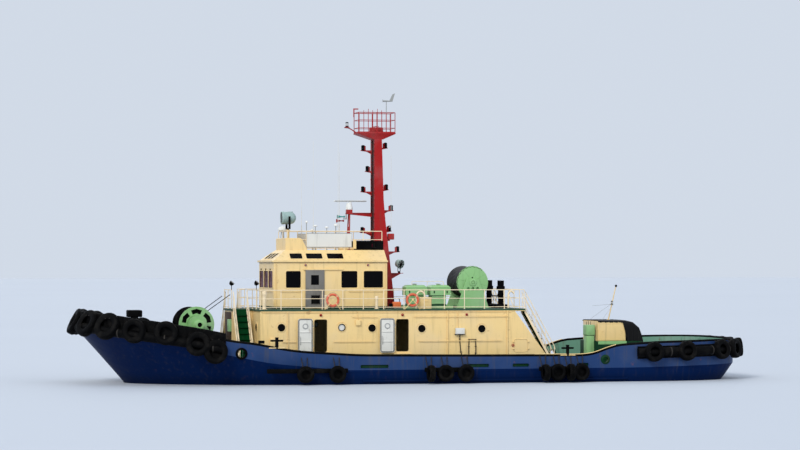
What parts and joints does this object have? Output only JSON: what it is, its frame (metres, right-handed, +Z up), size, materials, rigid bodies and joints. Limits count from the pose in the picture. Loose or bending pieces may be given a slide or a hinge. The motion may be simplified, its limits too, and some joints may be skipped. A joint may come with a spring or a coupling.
{
  "type": "harbour tugboat",
  "caption": "Harbour tug with a tyre-hung bow, deckhouse, wheelhouse under a sloped roof, tall mast, towing winch, hawser reel and steerable thrusters.",
  "frame": {"origin": "on the centreline at the waterline, amidships between the ends of the waterline", "axes": "+X towards the bow, +Y to port, +Z up"},
  "size_m": [37.1566, 12.1608, 19.97],
  "materials": {
    "hull_paint": "weathered gloss paint, blue above the waterline",
    "deck_paint": "matt anti-slip deck paint",
    "house_paint": "weathered cream gloss paint",
    "light_green_paint": "weathered light green paint",
    "mast_paint": "red gloss paint, faded",
    "black_paint": "matt black paint",
    "white_paint": "white gloss paint",
    "grey_paint": "grey-green enamel",
    "antifouling": "matt antifouling and bare gear castings",
    "door_metal": "brushed grey-brown metal",
    "bronze": "polished bronze",
    "fender_rubber": "worn black rubber",
    "tarpaulin": "coated black cloth",
    "lifebuoy_foam": "orange foam with pale bands",
    "dome_plastic": "white moulded plastic"
  },
  "bodies": {
    "root": {"hull": "hull_paint", "bulwark": "hull_paint", "bow_fender": "fender_rubber", "stern_fender": "fender_rubber", "side_tyres_fore_port": "fender_rubber", "side_tyres_fore_starboard": "fender_rubber", "side_tyres_mid_port": "fender_rubber", "side_tyres_mid_starboard": "fender_rubber", "side_tyres_aft_port": "fender_rubber", "side_tyres_aft_starboard": "fender_rubber", "skeg": "antifouling", "deckhouse": "house_paint", "fore_stairs_port": "house_paint", "fore_stairs_starboard": "house_paint", "after_stairs_port": "house_paint", "after_stairs_starboard": "house_paint", "upper_rail": "house_paint", "wheelhouse": "house_paint", "wheelhouse_roof": "house_paint", "breastwork": "house_paint", "top_rail": "house_paint", "searchlight_post": "house_paint", "deck_locker": "house_paint", "aft_winch": "house_paint", "light_mast": "house_paint", "board_port": "white_paint", "board_starboard": "white_paint", "upper_deck": "deck_paint", "lifebuoy_fore_port": "lifebuoy_foam", "lifebuoy_fore_starboard": "lifebuoy_foam", "lifebuoy_after_port": "lifebuoy_foam", "lifebuoy_after_starboard": "lifebuoy_foam", "sidelight_screen_port": "black_paint", "sidelight_screen_starboard": "black_paint", "exhaust_stacks": "black_paint", "mast": "mast_paint", "mast_cap": "mast_paint", "mast_basket": "mast_paint", "radar_mount": "mast_paint", "vents_port": "light_green_paint", "vents_starboard": "light_green_paint", "reel_stand": "light_green_paint", "fore_winch_frame": "light_green_paint"},
    "thruster_port": {"thruster_port": "antifouling"},
    "thruster_starboard": {"thruster_starboard": "antifouling"},
    "propeller_port": {"propeller_port": "bronze"},
    "propeller_starboard": {"propeller_starboard": "bronze"},
    "radar_scanner": {"radar_scanner": "dome_plastic"},
    "searchlight_yoke": {"searchlight_yoke": "black_paint"},
    "searchlight_lamp": {"searchlight_lamp": "grey_paint"},
    "reel_drum": {"reel_drum": "light_green_paint", "reel_cover": "tarpaulin"},
    "fore_winch_drum": {"fore_winch_drum": "black_paint"},
    "door_fore_port": {"door_fore_port": "white_paint"},
    "door_fore_starboard": {"door_fore_starboard": "white_paint"},
    "door_after_port": {"door_after_port": "white_paint"},
    "door_after_starboard": {"door_after_starboard": "white_paint"},
    "sliding_door_port": {"sliding_door_port": "door_metal"},
    "sliding_door_starboard": {"sliding_door_starboard": "door_metal"}
  },
  "joints": [
    {"name": "thruster_port_steer", "type": "hinge", "parent": "root", "child": "thruster_port", "pos_m": [-13.6, 2.35, -1.62], "axis": [0, 0, 1], "continuous": true},
    {"name": "propeller_port_spin", "type": "hinge", "parent": "thruster_port", "child": "propeller_port", "pos_m": [-14.39, 2.35, -3.15], "axis": [1, 0, 0], "continuous": true},
    {"name": "thruster_starboard_steer", "type": "hinge", "parent": "root", "child": "thruster_starboard", "pos_m": [-13.6, -2.35, -1.62], "axis": [0, 0, 1], "continuous": true},
    {"name": "propeller_starboard_spin", "type": "hinge", "parent": "thruster_starboard", "child": "propeller_starboard", "pos_m": [-14.39, -2.35, -3.15], "axis": [1, 0, 0], "continuous": true},
    {"name": "radar_spin", "type": "hinge", "parent": "root", "child": "radar_scanner", "pos_m": [2.63, 0, 9.62], "axis": [0, 0, 1], "continuous": true},
    {"name": "searchlight_pan", "type": "hinge", "parent": "root", "child": "searchlight_yoke", "pos_m": [6.06, 0, 8.18], "axis": [0, 0, 1], "range_deg": [-175, 175]},
    {"name": "searchlight_tilt", "type": "hinge", "parent": "searchlight_yoke", "child": "searchlight_lamp", "pos_m": [6.06, 0, 8.78], "axis": [0, -1, 0], "range_deg": [-25, 60]},
    {"name": "reel_turn", "type": "hinge", "parent": "root", "child": "reel_drum", "pos_m": [-3.88, 0.22, 5.3], "axis": [0, 1, 0], "continuous": true},
    {"name": "winch_turn", "type": "hinge", "parent": "root", "child": "fore_winch_drum", "pos_m": [11.25, 0, 3.1], "axis": [0, 1, 0], "continuous": true},
    {"name": "door_fore_port_swing", "type": "hinge", "parent": "root", "child": "door_fore_port", "pos_m": [5.419, 3.7, 2.52], "axis": [0, 0, 1], "range_deg": [0, 180]},
    {"name": "door_fore_starboard_swing", "type": "hinge", "parent": "root", "child": "door_fore_starboard", "pos_m": [5.419, -3.7, 2.52], "axis": [0, 0, -1], "range_deg": [0, 180]},
    {"name": "door_after_port_swing", "type": "hinge", "parent": "root", "child": "door_after_port", "pos_m": [0.999, 3.7, 2.52], "axis": [0, 0, 1], "range_deg": [0, 180]},
    {"name": "door_after_starboard_swing", "type": "hinge", "parent": "root", "child": "door_after_starboard", "pos_m": [0.999, -3.7, 2.52], "axis": [0, 0, -1], "range_deg": [0, 180]},
    {"name": "sliding_door_port_slide", "type": "slide", "parent": "root", "child": "sliding_door_port", "axis": [-1, 0, 0], "range_m": [0, 0.95]},
    {"name": "sliding_door_starboard_slide", "type": "slide", "parent": "root", "child": "sliding_door_starboard", "axis": [-1, 0, 0], "range_m": [0, 0.95]}
  ]
}
